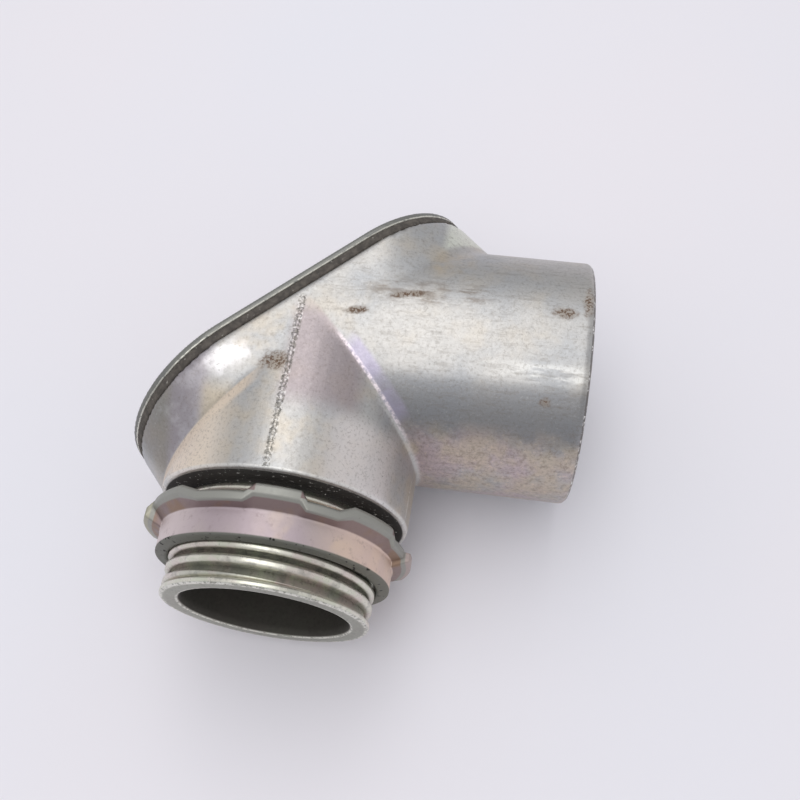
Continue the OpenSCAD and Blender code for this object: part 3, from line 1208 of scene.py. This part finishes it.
@dataclass(frozen=True)
class PlatedSheet:
    """Plated steel sheet: dull grey faces and a bright worn edge."""

    layout: Layout
    inner_n: float
    rim_r: float
    half: float
    face: Colour = (0.25, 0.25, 0.23)
    cloudy: Colour = (0.21, 0.21, 0.205)
    top: Colour = (0.41, 0.41, 0.39)
    edge: Colour = (0.76, 0.74, 0.66)
    grime: Colour = (0.16, 0.13, 0.09)

    def build(self) -> bpy.types.Material:
        """Builds the material.

        Returns:
            The finished material.
        """
        s = Surface("plated_sheet")
        outward = (s.y - s.x) * DIAGONAL - self.inner_n
        grain = s.noise(1100.0, 3.0, 0.6, 1.0)
        cloud = s.noise(150.0, 3.0, 0.6, 2.0)
        along = abs(s.x - self.layout.nipple_x + s.y) * DIAGONAL
        past = (along - self.half).most(0.0)
        rim = past.hypotenuse(s.z).rise(self.rim_r - 0.7 * MM, self.rim_r - 0.35 * MM)
        worn = outward.band(-0.2 * MM, 0.22 * MM, 0.12 * MM) * grain.rise(0.30, 0.50) * rim
        s.colour = s.blend(cloud.rise(0.4, 0.65) * 0.6, self.face, self.cloudy)
        top = outward.rise(0.95 * MM, 1.25 * MM)
        s.paint(top * 0.8, self.top)
        s.paint(worn * 0.85, self.edge)
        s.paint(grain.rise(0.66, 0.74) * 0.25, self.grime)
        roughness = 0.50 - worn * 0.15 + (grain - 0.5) * 0.25
        return s.finish(roughness.held(), 0.95, grain + cloud * 0.4, 0.04 * MM)


@dataclass(frozen=True)
class PinkPassivation:
    """Plated locknut: pinkish rainbow collar with painted lighter sides, purple brown slope darkened as
    painted shade, grey rim and dark end.
    """

    layout: Layout
    tip_y: float
    end_y: float
    collar_r: float
    rim_r: float
    depth: float
    teeth: tuple[Tooth, ...]
    pink: Colour = (0.47, 0.395, 0.395)
    rose: Colour = (0.45, 0.37, 0.40)
    gold: Colour = (0.60, 0.48, 0.38)
    # Purple brown: painted shade under the shoulder, and also random mottle.
    plum_mottle_and_shade: Colour = (0.205, 0.145, 0.14)
    rust: Colour = (0.29, 0.19, 0.12)
    grey: Colour = (0.33, 0.33, 0.30)
    end: Colour = (0.15, 0.16, 0.135)
    gouge: Colour = (0.02, 0.018, 0.015)
    speck: Colour = (0.20, 0.16, 0.13)
    # Painted light on the collar's left and right sides.
    painted_side_light: tuple[Colour, Colour] = ((0.74, 0.64, 0.63), (0.78, 0.60, 0.50))
    lugs: tuple[Colour, Colour] = ((0.42, 0.40, 0.31), (0.47, 0.37, 0.35))
    steepest: float = 5.0

    def build(self) -> bpy.types.Material:
        """Builds the material.

        Returns:
            The finished material.
        """
        s = Surface("pink_passivation")
        across = s.x - self.layout.nipple_x
        radius = across.hypotenuse(s.z)
        down = self.tip_y - s.y
        cloud = s.noise(130.0, 2.0, 0.5, 1.0)
        cloud_b = s.noise(210.0, 2.0, 0.5, 6.0)
        cloud_c = s.noise(700.0, 4.0, 0.7, 7.0)
        grain = s.noise(1500.0, 3.0, 0.6, 2.0)
        s.colour = s.blend(cloud.rise(0.42, 0.62) * 0.8, self.pink, self.rose)
        s.paint(across.rise(-2 * MM, 8 * MM) * cloud_b.rise(0.42, 0.62) * 0.9, self.gold)
        right = across.rise(-5 * MM, 5 * MM)
        # Painted light: the collar's sides lighter and pinker.
        painted_side_tint = s.blend(right, *self.painted_side_light)
        s.paint(abs(across).rise(6 * MM, 15 * MM) * 0.75, painted_side_tint)
        # Painted shade: the slope under the shoulder in purple brown, partly the chromate's own brown.
        shaded_slope = radius.rise(self.collar_r + 0.05 * MM, self.collar_r + 0.25 * MM)
        s.paint(shaded_slope * 0.85, self.plum_mottle_and_shade)
        s.paint(shaded_slope * cloud_b.rise(0.48, 0.64) * 0.7, self.rust)
        rim = radius.rise(self.rim_r - 0.65 * MM, self.rim_r - 0.45 * MM)
        s.paint(rim * 0.95, self.grey)
        s.paint(self._steep_flanks(s, across, down) * 0.9, self.plum_mottle_and_shade)
        s.paint(cloud_c.rise(0.54, 0.68) * (1.0 - rim) * 0.30, self.plum_mottle_and_shade)
        lug = radius.rise(self.rim_r + 0.05 * MM, self.rim_r + 0.25 * MM)
        s.paint(lug * 0.8, s.blend(right, *self.lugs))
        length = self.tip_y - self.end_y
        last = down.rise(length - 0.75 * MM, length - 0.5 * MM)
        ragged = s.noise(800.0, 2.0, 0.6, 11.0)
        s.paint(last * 0.9, self.end)
        s.paint(last * ragged.rise(0.60, 0.66), self.gouge)
        # Painted shade: the nut's bore darkened.
        inner = radius.rise(17.2 * MM, 17.0 * MM)
        s.paint(inner * 0.6, self.end)
        s.paint(grain.rise(0.66, 0.76) * 0.4, self.speck)
        roughness = 0.50 + (grain - 0.5) * 0.25 + last * 0.15
        relief = grain * (1.0 + last * 1.6) + cloud_b * 0.8
        return s.finish(roughness.held(), 0.72, relief, 0.024 * MM)

    def _steep_flanks(self, s: Surface, across: Signal, down: Signal) -> Signal:
        """The steep sides of the teeth, which take the slope's painted shade.

        Args:
            s: the material being built.
            across: the distance from the nipple's axis along X.
            down: the distance behind the teeth's tips.

        Returns:
            The mask of those sides.
        """
        turn = s.z.angle_over(across).wrapped(math.pi) * math.degrees(1.0)
        sides = [side for foot, tip, end, heel in self.teeth for side in ((foot, tip), (end, heel))]
        steep = [turn.band(low, high, 0.6) for low, high in sides if high - low < self.steepest]
        height = down.rise(self.depth * 1.02, self.depth * 0.9) * down.rise(0.05 * MM, 0.2 * MM)
        return reduce(Signal.most, steep) * height


# ---------------------------------------------------------------- sub-assemblies


@dataclass
class Casting:
    """The one-piece body with its nipple, both threads and the parting ridge."""

    layout: Layout
    voxel: float = 0.5 * MM
    passes: int = 3
    flare_passes: int = 30
    root_depth: float = 1.15 * MM
    thread_depth: float = 1.12 * MM
    end_round: float = 0.5 * MM
    relief_len: float = 0.3 * MM
    lip_len: float = 0.3 * MM
    lip_fall: float = 0.5 * MM
    crest: float = 0.80 * MM
    thread_turn: float = -70.0
    tube_back: float = 1.0 * MM
    tube_sides: int = 256
    bore_edge: tuple[tuple[float, float], ...] = ((0.9 * MM, 0.0), (0.4 * MM, 0.04 * MM), (0.0, 0.45 * MM))
    bore_straight: float = 1.5 * MM
    bore_rows: int = 8
    hub_start: float = 0.4 * MM
    hub_runout: float = 1.5 * MM
    hub_thread_depth: float = 1.0 * MM
    cut_past: float = 0.5 * MM
    seam_start: float = 0.6 * MM
    seam_past: float = 0.5 * MM
    seam_sink: float = 0.14 * MM
    finishes: dict[str, bpy.types.Material] = field(default_factory=dict)

    def build(self) -> list[bpy.types.Object]:
        """Builds the body's pieces and puts them on the elbow's body.

        Returns:
            The finished pieces.
        """
        self.finishes["cast"] = PlatedCasting(self.layout).build()
        self.finishes["thread"] = BrightThread(self.layout).build()
        shell = self._shell()
        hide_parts("elbow_body")
        pieces = [shell, self._nipple(), self._hub_thread(), self._parting_ridge()]
        for piece in pieces:
            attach(piece, "elbow")
        return pieces

    def _shell(self) -> bpy.types.Object:
        """The casting up to its shoulder.

        Returns:
            The shell.
        """
        copy = CadCopy("elbow_body")
        copy.cut_off((0, self.layout.shoulder_y - self.cut_past, 0), (0, -1, 0))
        shell = copy.softened("casting", self.voxel, self.passes)
        points, edges = mesh_arrays(shell.data)
        share = self._hub_flare_share(points)[:, None]
        move_points(shell.data, relaxed(points, edges, self.flare_passes, share))
        return clad(shell, self.finishes["cast"])

    def _hub_flare_share(self, points: np.ndarray) -> np.ndarray:
        """Where the flare runs into the hub with no crease.

        Args:
            points: the casting's vertices.

        Returns:
            1 on the hub's side of the flare and 0 elsewhere, with soft edges.
        """
        x = points[:, 0] - self.layout.nipple_x
        along = (x + points[:, 1]) * DIAGONAL / MM
        outward = (points[:, 1] - x) * DIAGONAL / MM
        on_flare = np.clip((outward + 10) / 1.5, 0, 1) * np.clip(-outward - 0.8, 0, 1)
        return np.clip(along - 0.5, 0, 1) * on_flare

    def _nipple(self) -> bpy.types.Object:
        """The threaded nipple: a turned tube with one helical ridge.

        Returns:
            The joined nipple.
        """
        plan = self.layout
        length = plan.shoulder_y - plan.nipple_end_y
        root = plan.thread_r - self.root_depth
        bore = plan.nipple_bore_r
        lip = plan.thread_r
        straight = length - self.end_round - self.lip_len
        profile = [(bore, -self.tube_back), (root, -self.tube_back)]
        profile += [(root, straight - self.lip_fall), (lip - 0.02 * MM, straight)]
        profile += arc((lip - self.end_round, length - self.end_round), self.end_round, 0, 80, 8)
        profile += [(bore + wide, length - deep) for wide, deep in self.bore_edge]
        profile += [(bore, z) for z in np.linspace(length - self.bore_straight, 0, self.bore_rows)]
        place = plan.on_nipple(plan.shoulder_y)
        tube = clad(lathe("nipple_tube", profile, place, self.tube_sides), self.finishes["thread"])
        run = straight - self.lip_fall - self.relief_len
        ridge = ThreadRidge(
            wall_r=root,
            depth=self.thread_depth,
            pitch=plan.pitch,
            turns=run / plan.pitch,
            crest=self.crest,
            side=Side.OUTWARD,
            steps=160,
        )
        turn = Matrix.Rotation(math.radians(self.thread_turn), 4, "Z")
        start = place @ Matrix.Translation((0, 0, self.relief_len)) @ turn
        return joined("nipple", [tube, ridge.build("nipple_ridge", start, self.finishes["thread"])])

    def _hub_thread(self) -> bpy.types.Object:
        """The hub's female thread, a ridge that stands in from the bore's wall.

        Returns:
            The ridge.
        """
        plan = self.layout
        place = Matrix.Rotation(math.radians(-90), 4, "Y")
        place.translation = Vector((-self.hub_start, 0, 0))
        ridge = ThreadRidge(
            wall_r=plan.hub_bore_r,
            depth=self.hub_thread_depth,
            pitch=plan.pitch,
            turns=(plan.hub_thread_len - self.hub_runout) / plan.pitch,
            crest=self.crest,
            side=Side.INWARD,
        )
        return ridge.build("hub_thread", place, self.finishes["thread"])

    def _parting_ridge(self) -> bpy.types.Object:
        """The raised bead along the top of the nipple's barrel.

        Returns:
            The bead.
        """
        plan = self.layout
        start = Vector((plan.nipple_x, -self.seam_start, plan.barrel_r - self.seam_sink))
        end = Vector((plan.nipple_x, plan.shoulder_y + self.seam_past, plan.shoulder_r - self.seam_sink))
        return PartingRidge(start, end).build("parting_ridge", self.finishes["cast"])


@dataclass
class Closure:
    """The gasket, the cover and its two screws."""

    layout: Layout
    gasket_voxel: float = 0.32 * MM
    gasket_passes: int = 1
    cover_voxel: float = 0.4 * MM
    cover_passes: int = 2

    def build(self) -> list[bpy.types.Object]:
        """Builds the closure's pieces and puts each on its body.

        Returns:
            The finished pieces.
        """
        gasket = CadCopy("cover_gasket").softened("gasket", self.gasket_voxel, self.gasket_passes)
        clad(gasket, FibreSheet().build())
        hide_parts("cover_gasket")
        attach(gasket, "elbow")

        outward = Vector((-1, 1, 0)).normalized()
        plate = frame["nodes"]["cover"].data.vertices
        inner_n = min(outward.dot(v.co) for v in plate)
        rim_r = max(v.co.z for v in plate)
        reach = max(v.co.x - self.layout.nipple_x + v.co.y for v in plate) * DIAGONAL
        sheet = PlatedSheet(self.layout, inner_n, rim_r, reach - rim_r).build()
        cover = clad(CadCopy("cover").softened("cover_plate", self.cover_voxel, self.cover_passes), sheet)
        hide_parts("cover")
        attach(cover, "lid")
        screws = [
            CoverScrew("cover_screw_1", "screw_one", outward, sheet).build(),
            CoverScrew("cover_screw_2", "screw_two", outward, sheet).build(),
        ]
        return [gasket, cover, *screws]


@dataclass
class CoverScrew:
    """One cover screw: a slotted round head on a shank with a cut thread."""

    node: str
    body: str
    outward: Vector
    finish: bpy.types.Material
    shank_r: float = 2.0 * MM
    core_r: float = 1.62 * MM
    pitch: float = INCH / 32
    tip: float = 0.5 * MM
    ease: float = 0.02 * MM
    crest_share: float = 0.16

    def build(self) -> bpy.types.Object:
        """Builds the screw and puts it on its body.

        Returns:
            The finished screw.
        """
        mesh = frame["nodes"][self.node].data
        centre = sum((v.co for v in mesh.vertices), Vector()) / len(mesh.vertices)
        side = self.outward.cross(Vector((0, 0, 1)))
        reach = [side.dot(v.co) for v in mesh.vertices]
        centre = centre + side * ((min(reach) + max(reach)) / 2 - side.dot(centre))
        centre.z = 0.0
        levels = [(v.co - centre).dot(self.outward) for v in mesh.vertices]
        wide = [abs(side.dot(v.co - centre)) > self.shank_r * 1.1 for v in mesh.vertices]
        head = min(level for level, is_head in zip(levels, wide) if is_head)
        low = min(levels)
        copy = CadCopy(self.node)
        copy.narrow(centre, self.outward, head - self.ease, self.core_r / self.shank_r)
        blank = clad(copy.crisp(self.node + "_blank"), self.finish)
        ridge = ThreadRidge(
            wall_r=self.core_r,
            depth=self.shank_r - self.core_r - self.ease,
            pitch=self.pitch,
            turns=(head - low - 2 * self.tip) / self.pitch,
            crest=self.pitch * self.crest_share,
            side=Side.OUTWARD,
            steps=48,
            sink=0.06 * MM,
        )
        place = Matrix((side, self.outward.cross(side), self.outward)).transposed().to_4x4()
        place.translation = centre + self.outward * (low + self.tip)
        helix = ridge.build(self.node + "_ridge", place, self.finish)
        screw = joined(self.node + "_threaded", [blank, helix])
        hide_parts(self.node)
        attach(screw, self.body)
        return screw


@dataclass
class Locknut:
    """The toothed ring on the nipple: a flange with teeth and two lugs, and a plain collar."""

    layout: Layout
    tip_gap: float = 2.3 * MM
    clear: float = 0.06 * MM
    wall: float = 2.15 * MM
    flange_w: float = 2.05 * MM
    flange_h: float = 3.5 * MM
    rim_h: float = 1.5 * MM
    edge: float = 0.45 * MM
    collar_h: float = 4.4 * MM
    end_fall: float = 0.35 * MM
    tooth_depth: float = 1.35 * MM
    lug_w: float = 0.9 * MM
    lug_top: float = 1.6 * MM
    lug_h: float = 1.6 * MM
    lug_slant: float = 0.4
    lug_edge: float = 0.15 * MM
    lug_place: float = 171.5
    lug_half: float = 15.0
    sides: int = 900
    teeth: tuple[Tooth, ...] = ((22, 25, 49, 56), (70, 73, 92, 96), (117, 129, 160, 163))

    def build(self) -> bpy.types.Object:
        """Builds the locknut and puts it on its body.

        Returns:
            The finished locknut.
        """
        tip_y = self.layout.shoulder_y - self.tip_gap
        nut = turned("locknut_ring", *self._outlines(), self.layout.on_nipple(tip_y))
        points, edges = mesh_arrays(nut.data)
        move_points(nut.data, relaxed(points, edges, 1))
        collar_r = self.layout.thread_r + self.clear + self.wall
        end_y = tip_y - self.flange_h - self.collar_h
        finish = PinkPassivation(
            self.layout, tip_y, end_y, collar_r, collar_r + self.flange_w, self.tooth_depth, self.teeth
        )
        clad(nut, finish.build())
        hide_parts("locknut")
        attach(nut, "nut")
        return nut

    def _outlines(self) -> tuple[np.ndarray, np.ndarray]:
        """The nut's outline in every direction about its axis.

        Returns:
            The radius and the distance behind the teeth's tips, with one row for
            each point of the outline and one column for each direction.
        """
        angle = np.linspace(0, 360, self.sides, endpoint=False) % 180.0
        drop = np.full(self.sides, self.tooth_depth)
        for marks in self.teeth:
            drop = np.minimum(drop, np.interp(angle, marks, (self.tooth_depth, 0.0, 0.0, self.tooth_depth)))
        away = np.abs((angle - self.lug_place + 90.0) % 180.0 - 90.0)
        lug = np.clip(self.lug_half - away + 0.5, 0.0, 1.0)
        bore = self.layout.thread_r + self.clear
        collar = bore + self.wall
        rim = collar + self.flange_w
        out = rim + lug * self.lug_w
        end = self.flange_h + self.collar_h
        shelf = np.maximum(drop + self.edge, self.lug_top)
        foot = self.lug_top + self.lug_h
        corner = drop + self.edge
        marks = [
            (bore, drop, 10),
            (rim - self.edge, drop, 3),
            (rim, corner, 2),
            (rim + lug * (self.lug_w - self.lug_edge), corner + lug * (shelf - corner), 2),
            (out, corner + lug * (shelf + self.lug_edge - corner), 5),
            (out, (1.0 - lug) * (drop + self.rim_h) + lug * foot, 9),
            (collar, (1.0 - lug) * self.flange_h + lug * (foot + (out - collar) * self.lug_slant), 14),
            (collar, end - self.end_fall, 6),
            (bore + self.edge, end, 2),
            (bore, end - self.edge * 0.5, 18),
        ]
        rows = [(np.broadcast_to(r, drop.shape), np.broadcast_to(h, drop.shape), n) for r, h, n in marks]
        radius, height = [], []
        for (r, h, steps), (r_next, h_next, _) in zip(rows, rows[1:] + rows[:1]):
            for share in np.arange(steps) / steps:
                radius.append(r + (r_next - r) * share)
                height.append(h + (h_next - h) * share)
        return np.array(radius), np.array(height)


# ---------------------------------------------------------------- studio


@dataclass
class Studio:
    """The pale floor, the soft lights and the camera."""

    layout: Layout
    eye: Vector = field(default_factory=lambda: Vector((-15.77, -78.42, 138.80)) * MM)
    aim: Vector = field(default_factory=lambda: Vector((-30.02, -6.98, 0.0)) * MM)
    roll: float = -3.6
    lens: float = 39.9
    sensor: float = 36.0
    floor_half: float = 1.5
    floor_tints: tuple[Colour, Colour] = ((0.81, 0.80, 0.85), (0.83, 0.80, 0.84))
    room_tint: Colour = (0.96, 0.97, 1.0)
    wall_tint: Colour = (0.92, 0.92, 0.94)
    wall_level: float = 0.95
    lamp_offset: Vector = field(default_factory=lambda: Vector((-0.06, 0.0, 0.58)))
    lamp_size: tuple[float, float] = (1.10, 0.30)
    lamp_power: float = 1.75

    def build(self) -> None:
        """Builds the whole studio."""
        self._floor()
        self._world()
        self._lights()
        self._camera()
        bpy.context.scene.view_settings.view_transform = "Standard"

    def _floor(self) -> None:
        """The floor, a wide pale sheet that the elbow lies on."""
        mesh = bpy.data.meshes.new("floor")
        half, z = self.floor_half, self.layout.floor_z
        corners = [(-half, -half, z), (half, -half, z), (half, half, z), (-half, half, z)]
        mesh.from_pydata(corners, [], [(0, 1, 2, 3)])
        floor = object_from("floor", mesh)
        s = Surface("pale_floor")
        shade = s.noise(9.0, 2.0, 0.5, 1.0)
        s.colour = s.blend(shade.rise(0.3, 0.7), *self.floor_tints)
        mesh.materials.append(s.finish(0.9, 0.0))

    def _world(self) -> None:
        """A pale room, brighter overhead and darker towards the camera and the right."""
        world = bpy.data.worlds.new("room")
        bpy.context.scene.world = world
        world.use_nodes = True
        room = Graph(world.node_tree)
        world.node_tree.nodes.clear()
        rays = room.node("ShaderNodeLightPath")
        direction = room.node("ShaderNodeTexCoord").outputs["Generated"]
        split = room.node("ShaderNodeSeparateXYZ", {0: direction})
        x, y, z = (Signal(room, split.outputs[i]) for i in range(3))
        level = 0.42 + y * 0.03 + abs(x) * 0.38 * z.rise(0.7, 0.2) + z.rise(0.05, 0.85) * 0.30
        soft = room.node("ShaderNodeBackground", {"Color": self.room_tint, "Strength": level})
        wall = room.node("ShaderNodeBackground", {"Color": self.wall_tint, "Strength": self.wall_level})
        seen = rays.outputs["Is Camera Ray"]
        mix = room.node("ShaderNodeMixShader", {0: seen, 1: soft, 2: wall})
        room.node("ShaderNodeOutputWorld", {"Surface": mix})

    def _lights(self) -> None:
        """One long soft lamp overhead, a little to the left."""
        centre = Vector((self.layout.nipple_x / 2, -10 * MM, 0))
        data = bpy.data.lights.new("overhead", "AREA")
        data.shape = "RECTANGLE"
        data.size, data.size_y = self.lamp_size
        data.energy = self.lamp_power
        lamp = bpy.data.objects.new("overhead", data)
        bpy.context.scene.collection.objects.link(lamp)
        lamp.location = centre + self.lamp_offset
        lamp.rotation_mode = "QUATERNION"
        lamp.rotation_quaternion = (-self.lamp_offset).to_track_quat("-Z", "Y")

    def _camera(self) -> None:
        """The camera, with its slight roll."""
        data = bpy.data.cameras.new("camera")
        data.lens = self.lens
        data.sensor_width = self.sensor
        camera = bpy.data.objects.new("camera", data)
        bpy.context.scene.collection.objects.link(camera)
        camera.location = self.eye
        look = (self.aim - self.eye).to_track_quat("-Z", "Y")
        camera.rotation_mode = "QUATERNION"
        camera.rotation_quaternion = look @ Matrix.Rotation(math.radians(self.roll), 3, "Z").to_quaternion()
        data.clip_start, data.clip_end = 0.005, 10.0
        bpy.context.scene.camera = camera


# ---------------------------------------------------------------- main


def main() -> None:
    """Builds the sub-assemblies and the studio in order."""
    logging.basicConfig(level=logging.INFO, format="%(name)s: %(message)s")
    layout = Layout.from_frame(frame)
    for assembly in (Casting(layout), Closure(layout), Locknut(layout)):
        made = assembly.build()
        for piece in made if isinstance(made, list) else [made]:
            LOG.info("%s: %d faces", piece.name, len(piece.data.polygons))
    Studio(layout).build()


if __name__ == "__main__":
    main()
